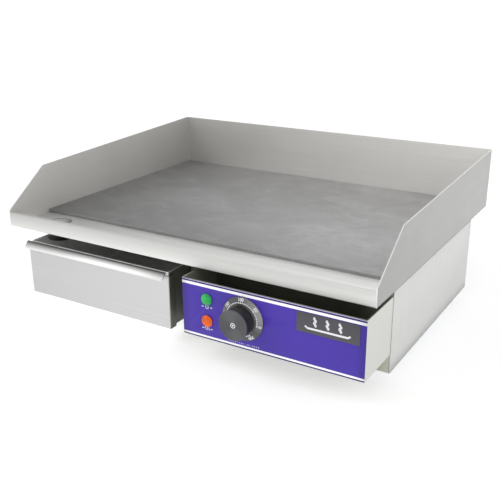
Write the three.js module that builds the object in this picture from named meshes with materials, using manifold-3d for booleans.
// Counter-top electric griddle: a steel cooking plate in a splash-guarded tray with a front
// grease trough, on a sheet-metal body that holds the elements, a control box and a grease drawer.
// Millimetres. X runs across the front, Y from front to back, Z upwards.
// The origin is the centre of the bounding box's base.
import * as THREE from "three";
import { mergeVertices } from "three/addons/utils/BufferGeometryUtils.js";
import Module from "manifold-3d";

const wasm = await Module();
wasm.setup();

// ---------------------------------------------------------------- driving dimensions
// Heights are above the underside of the body; depths are behind the face of the front lip.
const gap = 0.3;                 // air left between pieces that touch
const sheet = 1.5;               // tray and splash-guard sheet
const panel = 1.2;               // body panels

const trayWidth = 550;
const trayDepth = 430;
const trayBase = 103;            // lower edge of the tray
const lipHeight = 20;
const lipHem = 6.5;              // how far the lip folds back over the trough
const guardFrontHeight = 22.5;   // splash-guard heights above the tray's lower edge
const guardKneeHeight = 73;
const guardBackHeight = 87;
const guardKneeDepth = 70;
const plateFront = 73;
const plateThickness = 6;

const drainX = -225;
const drainY = 46;
const drainRadius = 17;
const spoutWall = 1;
const spoutBottom = 81.5;

const bodyFront = 52.4;
const bayFront = 68;             // the drawer bay's frame stands further back
const bodyBack = 351;
const bayRight = -2;
const footHeight = 11;
const footRadius = 13;
const footInsetX = 40;
const footInsetY = 45;

const boxLeft = 37.7;            // control box
const boxRight = 274.4;
const boxFront = -19.9;
const boxBottom = 24.2;
const boxTop = 97.2;
const overlayThickness = 0.6;
const knobX = 122.7;
const knobZ = 63.3;
const knobFace = -43;
const skirtRadius = 27.2;
const gripRadius = 18.7;
const gripNeckRadius = 16.8;     // the grip narrows towards its skirt
const shaftRadius = 3;
const lampX = 73;
const greenLampZ = 76.2;
const orangeLampZ = 48.3;
const lensRadius = 7.3;

const drawerLeft = -250.5;
const drawerRight = -3.7;
const drawerFace = 7;
const drawerBottom = 6.4;
const drawerTop = 84.7;
const drawerLip = 9.4;           // the pull lip comes this far forward and as far down
const drawerSheet = 1.2;
const drawerBack = 238;
const drawerBoxLeft = -245;
const drawerBoxTop = 83.8;
const drawerBackWallTop = 76;    // low enough to pass under the drain spout

const elementRadius = 3.5;
const elementPitch = 34;
const elementEnd = 235;
const elementTailX = 245;
const frontElementY = 88;
const rearElementY = 224;
const shieldBottom = 86.2;
const matBottom = 87.3;
const matTop = 90.2;
const clampTop = 95.4;
const clampThickness = 1.4;
const glandX = 200;
const glandZ = 35;
const glandBore = 4.5;
const glandThread = 8;
const glandHexagon = 12;
const glandNut = 10.5;

// ---------------------------------------------------------------- geometry helpers
const along = {
  x: new THREE.Vector3(1, 0, 0),
  y: new THREE.Vector3(0, 1, 0),
  z: new THREE.Vector3(0, 0, 1),
};

function closedSolid(geometry) {
  const bare = geometry.clone();
  bare.deleteAttribute("normal");
  bare.deleteAttribute("uv");
  const merged = mergeVertices(bare, 1e-4);
  const triangles = [];
  for (let i = 0; i < merged.index.count; i += 3) {
    const [a, b, c] = [0, 1, 2].map((corner) => merged.index.getX(i + corner));
    if (a !== b && b !== c && c !== a) triangles.push(a, b, c);
  }
  const vertProperties = Float32Array.from(merged.attributes.position.array);
  return new wasm.Manifold(
    new wasm.Mesh({ numProp: 3, vertProperties, triVerts: Uint32Array.from(triangles) }));
}

function openGeometry(solid) {
  const mesh = solid.getMesh();
  const geometry = new THREE.BufferGeometry();
  geometry.setAttribute("position", new THREE.BufferAttribute(mesh.vertProperties, 3));
  geometry.setIndex(new THREE.BufferAttribute(mesh.triVerts, 1));
  geometry.computeVertexNormals();
  return geometry;
}

function joined(...geometries) {
  return openGeometry(geometries.map(closedSolid).reduce((all, next) => all.add(next)));
}

function cut(geometry, ...tools) {
  return openGeometry(
    tools.map(closedSolid).reduce((rest, tool) => rest.subtract(tool), closedSolid(geometry)));
}

function block([x0, x1], [y0, y1], [z0, z1]) {
  return new THREE.BoxGeometry(x1 - x0, y1 - y0, z1 - z0)
    .translate((x0 + x1) / 2, (y0 + y1) / 2, (z0 + z1) / 2);
}

function outline(points) {
  return new THREE.Shape(points.map(([a, b]) => new THREE.Vector2(a, b)));
}

// A (y, z) outline carried from x0 to x1.
function extrudeX(shape, [x0, x1], curveSegments = 6) {
  return new THREE.ExtrudeGeometry(shape, { depth: x1 - x0, bevelEnabled: false, curveSegments })
    .applyMatrix4(new THREE.Matrix4().makeBasis(along.y, along.z, along.x))
    .translate(x0, 0, 0);
}

// An (x, z) outline carried from y0 to y1.
function extrudeY(shape, [y0, y1], curveSegments = 6) {
  return new THREE.ExtrudeGeometry(shape, { depth: y1 - y0, bevelEnabled: false, curveSegments })
    .applyMatrix4(new THREE.Matrix4().makeBasis(along.x, along.z, along.y.clone().negate()))
    .translate(0, y1, 0);
}

// An (x, y) outline carried from z0 to z1.
function extrudeZ(shape, [z0, z1], curveSegments = 6) {
  return new THREE.ExtrudeGeometry(shape, { depth: z1 - z0, bevelEnabled: false, curveSegments })
    .translate(0, 0, z0);
}

// A closed [radius, height] profile turned about Z; it may be listed in either direction.
function turnedZ(profile, segments = 24) {
  const points = profile.map(([r, h]) => new THREE.Vector2(r, h));
  if (THREE.ShapeUtils.area(points) < 0) points.reverse();
  return new THREE.LatheGeometry([...points, points[0]], segments).rotateX(Math.PI / 2);
}

// The same profile turned about Y, its heights running towards the back.
function turnedY(profile, segments = 24) {
  return turnedZ(profile, segments).rotateX(-Math.PI / 2);
}

function rodZ(x, y, radius, [z0, z1], segments = 16) {
  return new THREE.CylinderGeometry(radius, radius, z1 - z0, segments)
    .rotateX(Math.PI / 2).translate(x, y, (z0 + z1) / 2);
}

function rodY(x, z, radius, [y0, y1], segments = 16) {
  return new THREE.CylinderGeometry(radius, radius, y1 - y0, segments)
    .translate(x, (y0 + y1) / 2, z);
}

function slotShape(centreX, centreY, halfLength, radius) {
  const shape = new THREE.Shape();
  shape.absarc(centreX, centreY + halfLength, radius, 0, Math.PI);
  shape.absarc(centreX, centreY - halfLength, radius, Math.PI, 2 * Math.PI);
  shape.closePath();
  return shape;
}

// A route whose sections stand at chosen stations, so straight runs need only their two ends.
class StationRoute extends THREE.Curve {
  constructor(stations) {
    super();
    this.stations = stations;
  }

  indexAt(u) {
    return Math.round(u * (this.stations.length - 1));
  }

  getPointAt(u, target = new THREE.Vector3()) {
    return target.copy(this.stations[this.indexAt(u)]);
  }

  getTangentAt(u, target = new THREE.Vector3()) {
    const index = this.indexAt(u);
    const here = this.stations[index];
    const before = this.stations[Math.max(index - 1, 0)];
    const after = this.stations[Math.min(index + 1, this.stations.length - 1)];
    const arriving = here.clone().sub(before).normalize();
    const leaving = after.clone().sub(here).normalize();
    return target.copy(arriving).add(leaving).normalize();
  }
}

// Corner points joined by straight runs, with every inner corner rounded to the bend radius.
function roundedRoute(corners, bendRadius, stepsPerBend) {
  const points = corners.map(([x, y, z]) => new THREE.Vector3(x, y, z));
  const stations = [points[0]];
  for (let i = 1; i < points.length - 1; i += 1) {
    const toPrevious = points[i - 1].clone().sub(points[i]).normalize();
    const toNext = points[i + 1].clone().sub(points[i]).normalize();
    const halfAngle = toPrevious.angleTo(toNext) / 2;
    const setback = bendRadius / Math.tan(halfAngle);
    const middle = toPrevious.clone().add(toNext).normalize();
    const centre = points[i].clone().addScaledVector(middle, bendRadius / Math.sin(halfAngle));
    const start = points[i].clone().addScaledVector(toPrevious, setback).sub(centre);
    const end = points[i].clone().addScaledVector(toNext, setback).sub(centre);
    const sweep = start.angleTo(end);
    for (let step = 0; step <= stepsPerBend; step += 1) {
      const t = step / stepsPerBend;
      const spoke = start.clone().multiplyScalar(Math.sin((1 - t) * sweep))
        .addScaledVector(end, Math.sin(t * sweep)).divideScalar(Math.sin(sweep));
      const station = centre.clone().add(spoke);
      if (station.distanceTo(stations[stations.length - 1]) > 1e-3) stations.push(station);
    }
  }
  stations.push(points[points.length - 1]);
  return new StationRoute(stations);
}

function tube(corners, radius, { bendRadius, stepsPerBend = 4, sides = 8 }) {
  const route = roundedRoute(corners, bendRadius, stepsPerBend);
  const section = outline(Array.from({ length: sides }, (_, i) => {
    const angle = (2 * Math.PI * (i + 0.5)) / sides;
    return [radius * Math.cos(angle), radius * Math.sin(angle)];
  }));
  return new THREE.ExtrudeGeometry(section, {
    steps: route.stations.length - 1, bevelEnabled: false, extrudePath: route });
}

// ---------------------------------------------------------------- finishes
const finishes = {
  satinSteel: { color: 0xcfcfca, roughness: 0.38, metalness: 0.9 },
  plateSteel: { color: 0x8c8c8a, roughness: 0.45, metalness: 0.9 },
  zincSteel: { color: 0xb4b8ba, roughness: 0.5, metalness: 0.8 },
  elementSheath: { color: 0x5d5a55, roughness: 0.6, metalness: 0.7 },
  purpleFilm: { color: 0x5846b2, roughness: 0.35, metalness: 0.0 },
  darkFilm: { color: 0x45464c, roughness: 0.4, metalness: 0.0 },
  blackPlastic: { color: 0x26272a, roughness: 0.45, metalness: 0.0 },
  greyPlastic: { color: 0x6a6c70, roughness: 0.5, metalness: 0.0 },
  greenLens: { color: 0x2fbf58, roughness: 0.2, metalness: 0.0 },
  orangeLens: { color: 0xf2701f, roughness: 0.2, metalness: 0.0 },
  ceramic: { color: 0xe8e4da, roughness: 0.6, metalness: 0.0 },
  brass: { color: 0xb89a55, roughness: 0.4, metalness: 0.9 },
  rubber: { color: 0x1f1f20, roughness: 0.9, metalness: 0.0 },
  mineralWool: { color: 0xd9d6cc, roughness: 1.0, metalness: 0.0 },
  wireSleeve: { color: 0x9c4a3c, roughness: 0.7, metalness: 0.0 },
};

const griddle = new THREE.Group();
griddle.position.set(0, -(knobFace + trayDepth) / 2, footHeight);

function add(group, name, finish, geometry) {
  const mesh = new THREE.Mesh(geometry, new THREE.MeshStandardMaterial(finishes[finish]));
  mesh.name = name;
  group.add(mesh);
  return mesh;
}

function subgroup(x, y, z) {
  const group = new THREE.Group();
  group.position.set(x, y, z);
  griddle.add(group);
  return group;
}

// ---------------------------------------------------------------- tray
const halfTray = trayWidth / 2;
const innerHalf = halfTray - sheet;

// Left, back and right walls in one bent sheet; the sides slope down to meet the front lip.
function splashGuard() {
  const walls = extrudeZ(outline([
    [-halfTray, 0], [-innerHalf, 0], [-innerHalf, trayDepth - sheet],
    [innerHalf, trayDepth - sheet], [innerHalf, 0], [halfTray, 0],
    [halfTray, trayDepth], [-halfTray, trayDepth],
  ]), [0, guardBackHeight + 5]);
  const overrun = 10;
  const frontSlope = (guardKneeHeight - guardFrontHeight) / guardKneeDepth;
  const backSlope = (guardBackHeight - guardKneeHeight) / (trayDepth - guardKneeDepth);
  const above = outline([
    [-overrun, guardFrontHeight - overrun * frontSlope], [guardKneeDepth, guardKneeHeight],
    [trayDepth + overrun, guardBackHeight + overrun * backSlope],
    [trayDepth + overrun, guardBackHeight + overrun], [-overrun, guardBackHeight + overrun],
  ]);
  return cut(walls, extrudeX(above, [-halfTray - overrun, halfTray + overrun]));
}

// Trough floor, front lip and the hem folded back at the lip's top, with the drain hole.
function frontTrough() {
  const bend = 3;
  const inside = bend - sheet;
  const shape = new THREE.Shape();
  shape.moveTo(plateFront - gap, 0);
  shape.absarc(bend, bend, bend, 1.5 * Math.PI, Math.PI, true);
  shape.absarc(bend, lipHeight - bend, bend, Math.PI, 0.5 * Math.PI, true);
  shape.lineTo(lipHem, lipHeight);
  shape.lineTo(lipHem, lipHeight - sheet);
  shape.absarc(bend, lipHeight - bend, inside, 0.5 * Math.PI, Math.PI, false);
  shape.absarc(bend, bend, inside, Math.PI, 1.5 * Math.PI, false);
  shape.lineTo(plateFront - gap, sheet);
  shape.closePath();
  const reach = innerHalf - gap;
  return cut(
    extrudeX(shape, [-reach, reach], 4),
    rodZ(drainX, drainY, drainRadius, [-5, 5], 32));
}

function griddlePlate() {
  const reach = innerHalf - gap;
  return block([-reach, reach], [plateFront, trayDepth - sheet - gap],
    [gap, plateThickness]);
}

// Tube from the drain hole down into the drawer, with a flange against the trough's underside.
function drainSpout() {
  const top = trayBase - gap;
  const outer = drainRadius + spoutWall;
  return turnedZ([
    [drainRadius, spoutBottom], [outer, spoutBottom], [outer, top - 1], [outer + 3, top - 1],
    [outer + 3, top], [drainRadius, top],
  ], 32).translate(drainX, drainY, 0);
}

const tray = subgroup(0, 0, trayBase);
add(tray, "splash_guard", "satinSteel", splashGuard());
add(tray, "front_trough", "satinSteel", frontTrough());
add(tray, "griddle_plate", "plateSteel", griddlePlate());
const body = subgroup(0, 0, 0);
add(body, "drain_spout", "satinSteel", drainSpout());

// ---------------------------------------------------------------- body casing
const bodyTop = trayBase - gap;
const panelReach = halfTray - panel - gap;
const feetX = halfTray - footInsetX;
const feetY = [bodyFront + footInsetY, bodyBack - footInsetY];
const footPlaces = [
  ["front_left", -feetX, feetY[0]], ["front_right", feetX, feetY[0]],
  ["rear_left", -feetX, feetY[1]], ["rear_right", feetX, feetY[1]],
];
const footScrewRadius = 2;

function basePlate() {
  const reach = panelReach;
  const front = bodyFront + panel + gap;
  const bay = bayFront + panel + gap;
  const back = bodyBack - panel - gap;
  const step = bayRight + panel + gap;
  const shape = outline([
    [-reach, bay], [step, bay], [step, front], [reach, front], [reach, back], [-reach, back],
  ]);
  const screwHoles = footPlaces.map(([, x, y]) =>
    rodZ(x, y, footScrewRadius + gap, [-2, 4], 12));
  const vents = Array.from({ length: 6 }, (_, i) =>
    extrudeZ(slotShape(60 + 26 * i, 200, 40, 3), [-2, 4], 4));
  return cut(extrudeZ(shape, [0, panel]), ...screwHoles, ...vents);
}

// The right part stands forward behind the control box; the left part frames the drawer bay.
function frontPanel() {
  const shape = outline([
    [-panelReach, bayFront], [bayRight, bayFront], [bayRight, bodyFront], [panelReach, bodyFront],
    [panelReach, bodyFront + panel], [bayRight + panel, bodyFront + panel],
    [bayRight + panel, bayFront + panel], [-panelReach, bayFront + panel],
  ]);
  const opening = block([drawerBoxLeft - 1.5, drawerRight + 0.6], [bayFront - 5, bayFront + 5],
    [4.5, shieldBottom - 0.6]);
  const wireWindow = block([100, 215], [bodyFront - 5, bodyFront + 5], [34, 58]);
  return cut(extrudeZ(shape, [gap, bodyTop]), opening, wireWindow);
}

function sidePanel(outerX, innerX, front) {
  return block([Math.min(outerX, innerX), Math.max(outerX, innerX)], [front, bodyBack],
    [0, bodyTop]);
}

function backPanel() {
  const vents = Array.from({ length: 9 }, (_, i) =>
    extrudeY(slotShape(-200 + 34 * i, 62, 14, 2.6), [bodyBack - 6, bodyBack + 4], 4));
  return cut(
    block([-panelReach, panelReach], [bodyBack - panel, bodyBack], [0, bodyTop]),
    rodY(glandX, glandZ, glandThread + gap, [bodyBack - 6, bodyBack + 4], 20),
    ...vents);
}

// Folded rail: a foot on the base, an upright and a shelf that the drawer slides on.
function drawerRunner(wallX, towardsDrawer) {
  const shelfTop = drawerBottom + drawerSheet - 2 * gap;
  const bottom = panel + gap;
  const [railFoot, railShelf, railTop] = [11, 13, 16];
  const xs = (offset) => wallX + towardsDrawer * offset;
  const shape = outline([
    [xs(-railFoot), bottom], [xs(0), bottom], [xs(0), shelfTop - panel],
    [xs(railShelf), shelfTop - panel], [xs(railShelf), shelfTop], [xs(0), shelfTop],
    [xs(0), railTop], [xs(-panel), railTop],
    [xs(-panel), bottom + panel], [xs(-railFoot), bottom + panel],
  ]);
  return extrudeY(shape, [bayFront + 3, bodyBack - 8]);
}

function foot() {
  return turnedZ([
    [footScrewRadius + 0.5, -gap], [footScrewRadius + 0.5, -6], [5.5, -6], [5.5, -footHeight],
    [footRadius - 2.5, -footHeight], [footRadius - 1.5, -footHeight + 1], [footRadius, -gap],
  ], 20);
}

function footScrew() {
  return turnedZ([
    [0, 4.6], [footScrewRadius, 4.6], [footScrewRadius, -6 - gap], [4.5, -6 - gap],
    [4.5, -8], [3, -9.2], [0, -9.2],
  ], 12);
}

add(body, "base_plate", "zincSteel", basePlate());
add(body, "front_panel", "satinSteel", frontPanel());
add(body, "side_panel_left", "satinSteel", sidePanel(-halfTray, -halfTray + panel, bayFront));
add(body, "side_panel_right", "satinSteel", sidePanel(halfTray, halfTray - panel, bodyFront));
add(body, "back_panel", "satinSteel", backPanel());
add(body, "drawer_runner_left", "zincSteel", drawerRunner(drawerBoxLeft - 0.8, 1));
add(body, "drawer_runner_right", "zincSteel", drawerRunner(drawerRight - 0.7, -1));
for (const [place, x, y] of footPlaces) {
  const corner = subgroup(x, y, 0);
  add(corner, `foot_${place}`, "rubber", foot());
  add(corner, `foot_screw_${place}`, "zincSteel", footScrew());
}

// ---------------------------------------------------------------- heating under the plate
const elementZ = trayBase - elementRadius;
const elementRows = [frontElementY, rearElementY];
const tailPlaces = elementRows.flatMap((y) => [y, y + 3 * elementPitch]);
const capillaryX = 256;
const bulbY = frontElementY + elementPitch / 2;
const clampXs = { left: -120, right: 120 };
const clampStudYs = {
  front: frontElementY + 1.5 * elementPitch, rear: rearElementY + 1.5 * elementPitch,
};
const studRadius = 2;

// Four runs joined by three U-turns, with both ends turned down through the heat shield.
function heatingElement(firstY) {
  const y = [0, 1, 2, 3].map((run) => firstY + run * elementPitch);
  const z = elementZ;
  return tube([
    [elementTailX, y[0], 66], [elementTailX, y[0], z], [-elementEnd, y[0], z],
    [-elementEnd, y[1], z], [elementEnd, y[1], z], [elementEnd, y[2], z],
    [-elementEnd, y[2], z], [-elementEnd, y[3], z], [elementTailX, y[3], z],
    [elementTailX, y[3], 66],
  ], elementRadius - 0.1, { bendRadius: elementPitch / 2 - 0.01, stepsPerBend: 5, sides: 6 });
}

function elementClamp(x) {
  const bar = block([x - 9, x + 9], [frontElementY - 8, rearElementY + 3 * elementPitch + 8],
    [clampTop - clampThickness, clampTop]);
  const holes = Object.values(clampStudYs).map((y) =>
    rodZ(x, y, studRadius + gap, [clampTop - 5, clampTop + 5], 12));
  return cut(bar, ...holes);
}

function sheetHoles(zRange) {
  return [
    ...tailPlaces.map((y) => rodZ(elementTailX, y, 6, zRange, 14)),
    rodZ(capillaryX, bulbY, 3.5, zRange, 12),
  ];
}

// A shallow tray of sheet between the elements and the drawer, its side edges turned up.
function heatShield() {
  const reach = panelReach - 0.5;
  const [front, back] = [bayFront + panel + 1, bodyBack - panel - 1];
  const floor = block([-reach, reach], [front, back], [shieldBottom, shieldBottom + 0.8]);
  const edges = [[-reach, -reach + 0.8], [reach - 0.8, reach]].map((xRange) =>
    block(xRange, [front, back], [shieldBottom, shieldBottom + 9]));
  return cut(joined(floor, ...edges), ...sheetHoles([shieldBottom - 5, shieldBottom + 5]));
}

function insulationMat() {
  const reach = panelReach - 1.8;
  const mat = block([-reach, reach], [bayFront + panel + 2, bodyBack - panel - 2],
    [matBottom, matTop]);
  return cut(mat, ...sheetHoles([matBottom - 5, matTop + 5]));
}

const bulbRadius = 3;
const bulbZ = trayBase - bulbRadius;
const bulbX = [-60, 50];

function thermostatBulb() {
  return new THREE.CylinderGeometry(bulbRadius, bulbRadius, bulbX[1] - bulbX[0], 16)
    .rotateZ(Math.PI / 2).translate((bulbX[0] + bulbX[1]) / 2, bulbY, bulbZ);
}

// Strap round the bulb whose two feet lie against the plate.
function bulbClip() {
  const inner = bulbRadius + gap;
  const outer = inner + 0.8;
  const top = trayBase - gap;
  const shape = new THREE.Shape();
  shape.moveTo(bulbY - outer - 5, top);
  shape.lineTo(bulbY - outer - 5, top - 0.8);
  shape.lineTo(bulbY - outer, top - 0.8);
  shape.absarc(bulbY, bulbZ, outer, Math.PI, 2 * Math.PI, false);
  shape.lineTo(bulbY + outer, top - 0.8);
  shape.lineTo(bulbY + outer + 5, top - 0.8);
  shape.lineTo(bulbY + outer + 5, top);
  shape.lineTo(bulbY + inner, top);
  shape.absarc(bulbY, bulbZ, inner, 2 * Math.PI, Math.PI, true);
  shape.lineTo(bulbY - inner, top);
  shape.closePath();
  return extrudeX(shape, [-11, 1]);
}

function capillaryTube() {
  return tube([
    [bulbX[1] + gap, bulbY, bulbZ], [capillaryX, bulbY, bulbZ], [capillaryX, bulbY, 60],
    [capillaryX, 78, 60], [225, 62, 56], [knobX + 8, 40, 56], [knobX + 8, 15.4, 74],
  ], 1.1, { bendRadius: 7, stepsPerBend: 3 });
}

const under = subgroup(0, 0, 0);
add(under, "heating_element_front", "elementSheath", heatingElement(frontElementY));
add(under, "heating_element_rear", "elementSheath", heatingElement(rearElementY));
for (const [side, x] of Object.entries(clampXs)) {
  add(under, `element_clamp_${side}`, "zincSteel", elementClamp(x));
  for (const [end, y] of Object.entries(clampStudYs)) {
    add(under, `clamp_stud_${end}_${side}`, "zincSteel",
      rodZ(x, y, studRadius, [matTop + gap, trayBase], 12));
    const nut = cut(
      rodZ(x, y, 4, [matTop + gap, clampTop - clampThickness - gap], 6),
      rodZ(x, y, studRadius + gap, [matTop - 2, clampTop], 12));
    add(under, `clamp_nut_${end}_${side}`, "zincSteel", nut);
  }
}
add(under, "thermostat_bulb", "brass", thermostatBulb());
add(under, "bulb_clip", "zincSteel", bulbClip());
add(under, "capillary_tube", "brass", capillaryTube());
add(under, "insulation_mat", "mineralWool", insulationMat());
add(under, "heat_shield", "zincSteel", heatShield());

// ---------------------------------------------------------------- control box
const lampZs = { green: greenLampZ, orange: orangeLampZ };
const lampStemRadius = 5;
const overlayBack = boxFront - gap;
const overlayFace = overlayBack - overlayThickness;

function panelHoles(yRange) {
  return [
    rodY(knobX, knobZ, shaftRadius + 2.5, yRange, 20),
    ...Object.values(lampZs).map((z) => rodY(lampX, z, lampStemRadius + 0.5, yRange, 20)),
  ];
}

// Folded front, sides and floor; it is open behind, and on top where the tray overhangs it.
function controlHousing() {
  const back = bodyFront - gap;
  const shell = block([boxLeft, boxRight], [boxFront, back], [boxBottom, boxTop]);
  const hollow = block([boxLeft + panel, boxRight - panel], [boxFront + panel, back + 5],
    [boxBottom + panel, boxTop + 5]);
  return cut(shell, hollow, ...panelHoles([boxFront - 3, boxFront + 4]));
}

function controlOverlay() {
  const inset = 0.3;
  return cut(
    block([boxLeft + inset, boxRight - inset], [overlayFace, overlayBack],
      [boxBottom + inset, boxTop - inset]),
    ...panelHoles([overlayFace - 3, overlayBack + 3]));
}

function namePlate() {
  const face = overlayFace - gap;
  return block([192, 267], [face - 0.5, face], [66.5, 90.2]);
}

function thermostatBody() {
  const front = boxFront + panel + gap;
  return cut(
    joined(
      block([knobX - 18, knobX + 18], [front + 4, front + 30], [knobZ - 24, knobZ + 15]),
      rodY(knobX, knobZ, 9, [front, front + 6], 20),
      block([knobX - 12, knobX - 8], [front + 28, front + 37], [knobZ - 14, knobZ - 6]),
      block([knobX + 8, knobX + 12], [front + 28, front + 37], [knobZ - 14, knobZ - 6])),
    rodY(knobX, knobZ, shaftRadius + gap, [front - 5, front + 16], 20));
}

// One pilot lamp's lens: a dome on a short rim, with a stem that passes through the panel.
function lampLens() {
  const domeHeight = 5.2;
  const rim = 1.4;
  const profile = [[0, 5], [lampStemRadius, 5], [lampStemRadius, -gap], [lensRadius, -gap],
    [lensRadius, -gap - rim]];
  for (let i = 1; i <= 6; i += 1) {
    const angle = (i / 6) * (Math.PI / 2);
    profile.push([(lensRadius - 0.9) * Math.cos(angle) * (i < 6 ? 1 : 0),
      -gap - rim - (domeHeight - rim) * Math.sin(angle)]);
  }
  return turnedY(profile, 20);
}

function lampBody() {
  return joined(
    turnedY([[0, 20], [0, 5 + gap], [lampStemRadius + 1.5, 5 + gap], [lampStemRadius + 1.5, 20]], 20),
    block([-3.5, -2.5], [19, 27], [-2, 2]),
    block([2.5, 3.5], [19, 27], [-2, 2]));
}

add(body, "control_housing", "satinSteel", controlHousing());
add(body, "control_overlay", "purpleFilm", controlOverlay());
add(body, "name_plate", "darkFilm", namePlate());
add(body, "thermostat_body", "ceramic", thermostatBody());
for (const [colour, z] of Object.entries(lampZs)) {
  const lamp = subgroup(lampX, overlayFace, z);
  add(lamp, `lamp_lens_${colour}`, `${colour}Lens`, lampLens());
  add(lamp, `lamp_body_${colour}`, "ceramic", lampBody());
}

// ---------------------------------------------------------------- knob, turning about Y
const skirtBack = overlayFace - 0.5;
const skirtThickness = 3;
const skirtFace = skirtBack - skirtThickness;
const boreRadius = shaftRadius + gap;

function knobSkirt() {
  return turnedY([
    [12, skirtBack], [skirtRadius, skirtBack], [skirtRadius, skirtBack - 1],
    [skirtRadius - 2, skirtFace], [12, skirtFace],
  ], 40);
}

function knobGrip() {
  return turnedY([
    [0, knobFace + 0.6], [gripRadius - 3, knobFace + 0.6], [gripRadius - 2.4, knobFace],
    [gripRadius - 0.8, knobFace], [gripRadius, knobFace + 0.8], [gripNeckRadius, skirtFace - gap],
    [12 - gap, skirtFace - gap], [12 - gap, skirtBack], [boreRadius, skirtBack],
    [boreRadius, knobFace + 5], [0, knobFace + 5],
  ], 32);
}

function thermostatShaft() {
  const back = boxFront + panel + gap + 15;
  const [front, flat] = [knobFace + 5 + gap, 1.8];
  return cut(
    rodY(0, 0, shaftRadius, [front, back], 20),
    block([-5, 5], [front - 1, skirtBack], [flat, 5]));
}

const knob = subgroup(knobX, 0, knobZ);
add(knob, "knob_skirt", "greyPlastic", knobSkirt());
add(knob, "knob_grip", "blackPlastic", knobGrip());
add(knob, "thermostat_shaft", "zincSteel", thermostatShaft());

// ---------------------------------------------------------------- grease drawer
// Front sheet with a 45-degree pull lip folded forward and down, and returns at both sides.
function drawerFront() {
  const slant = drawerSheet * Math.SQRT2;
  const profile = outline([
    [drawerFace, drawerBottom], [drawerFace + drawerSheet, drawerBottom],
    [drawerFace + drawerSheet, drawerTop], [drawerFace, drawerTop],
    [drawerFace - drawerLip, drawerTop - drawerLip],
    [drawerFace - drawerLip + slant / 2, drawerTop - drawerLip - slant / 2],
    [drawerFace, drawerTop - slant],
  ]);
  const sheetWithLip = extrudeX(profile, [drawerLeft, drawerRight]);
  const lipTip = [drawerFace - drawerLip - 4, drawerFace - 0.01];
  const lipZ = [drawerTop - drawerLip - 6, drawerTop - 0.5];
  const endTrims = [
    block([drawerLeft - 1, drawerLeft + 1], lipTip, lipZ),
    block([drawerRight - 4, drawerRight + 1], lipTip, lipZ),
  ];
  const returns = [[drawerLeft, drawerLeft + drawerSheet], [drawerRight - drawerSheet, drawerRight]]
    .map((xRange) => block(xRange, [drawerFace, drawerFace + 12], [drawerBottom, drawerTop - 0.9]));
  return joined(cut(sheetWithLip, ...endTrims), ...returns);
}

function drawerBox() {
  const wall = 1;
  const [left, right] = [drawerBoxLeft, drawerRight - drawerSheet - gap];
  const front = drawerFace + drawerSheet + gap;
  const bottom = drawerBottom + drawerSheet - gap;
  const shell = block([left, right], [front, drawerBack], [bottom, drawerBoxTop]);
  const hollow = block([left + wall, right - wall], [front + wall, drawerBack - wall],
    [bottom + wall, drawerBoxTop + 10]);
  const backNotch = block([left + wall, right - wall], [drawerBack - 5, drawerBack + 5],
    [drawerBackWallTop, drawerBoxTop + 10]);
  return cut(shell, hollow, backNotch);
}

const drawer = subgroup(0, 0, 0);
add(drawer, "drawer_front", "satinSteel", drawerFront());
add(drawer, "drawer_box", "satinSteel", drawerBox());

// ---------------------------------------------------------------- supply and wiring
// Hexagonal gland through the back panel, left open where the supply cord would enter.
function cableGland() {
  const inside = bodyBack - 12;
  const outside = bodyBack + gap;
  const [nutBase, nutShoulder, nutEnd] = [outside + 5, outside + 14, outside + 20];
  const thread = turnedY([[glandBore, inside], [glandThread, inside],
    [glandThread, outside + 4], [glandBore, outside + 4]], 20);
  const hexagon = cut(rodY(0, 0, glandHexagon, [outside, outside + 6], 6),
    rodY(0, 0, glandBore, [inside, outside + 9], 20));
  const domeNut = turnedY([[glandBore, nutBase], [glandNut, nutBase], [glandNut, nutShoulder],
    [7, nutEnd], [glandBore, nutEnd]], 20);
  return joined(thread, hexagon, domeNut).translate(glandX, 0, glandZ);
}

function glandLocknut() {
  const back = bodyBack - panel - gap;
  return cut(rodY(glandX, glandZ, glandHexagon + 1, [back - 4, back], 6),
    rodY(glandX, glandZ, glandThread + gap, [back - 8, back + 4], 20));
}

const terminalY = 300;
const blockTop = panel + gap + 18;
const wirePitch = 16;

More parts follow.
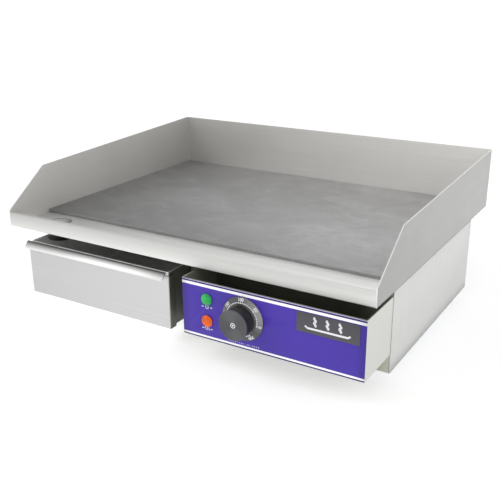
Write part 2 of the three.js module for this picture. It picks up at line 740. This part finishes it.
// Three-way ceramic block whose ways are open to the top.
function terminalBlock() {
  const bottom = panel + gap;
  const [halfWidth, halfDepth, wellDepth, pitch] = [26, 13, 10, wirePitch];
  const wells = [-pitch, 0, pitch].map((offset) =>
    block([glandX + offset - 5, glandX + offset + 5], [terminalY - 8, terminalY + 8],
      [blockTop - wellDepth, blockTop + wellDepth]));
  const ceramic = block([glandX - halfWidth, glandX + halfWidth],
    [terminalY - halfDepth, terminalY + halfDepth], [bottom, blockTop]);
  return cut(ceramic, ...wells);
}

function earthStud() {
  const bottom = panel + gap;
  const [x, y] = [150, 320];
  return joined(
    rodZ(x, y, 2.5, [bottom, bottom + 14], 12),
    rodZ(x, y, 5, [bottom, bottom + 4], 6));
}

const wireRadius = 1.5;
const wires = {
  wire_thermostat_feed: [
    [glandX - wirePitch, terminalY, blockTop + gap], [glandX - wirePitch, terminalY, 34],
    [glandX - wirePitch, 120, 34],
    [knobX - 4, 70, 52], [knobX - 10, 40, 52], [knobX - 10, 20, 52],
  ],
  wire_element_neutral: [
    [glandX, terminalY, blockTop + gap], [glandX, terminalY, 42], [glandX, 210, 42],
    [238, 200, 52],
    [elementTailX, tailPlaces[1], 56], [elementTailX, tailPlaces[1], 66 - gap],
  ],
  wire_element_live: [
    [knobX + 10, 20, 52], [knobX + 10, 42, 48], [222, 66, 44], [elementTailX, 86, 50],
    [elementTailX, tailPlaces[0], 66 - gap],
  ],
  wire_lamp_link: [
    [lampX, overlayFace + 27.6, greenLampZ], [lampX, 14, greenLampZ], [lampX, 14, orangeLampZ],
    [lampX, overlayFace + 27.6, orangeLampZ],
  ],
};

add(body, "cable_gland", "blackPlastic", cableGland());
add(body, "gland_locknut", "blackPlastic", glandLocknut());
add(body, "terminal_block", "ceramic", terminalBlock());
add(body, "earth_stud", "brass", earthStud());
for (const [name, corners] of Object.entries(wires)) {
  add(body, name, "wireSleeve",
    tube(corners, wireRadius, { bendRadius: 4, stepsPerBend: 3, sides: 6 }));
}

export default griddle;
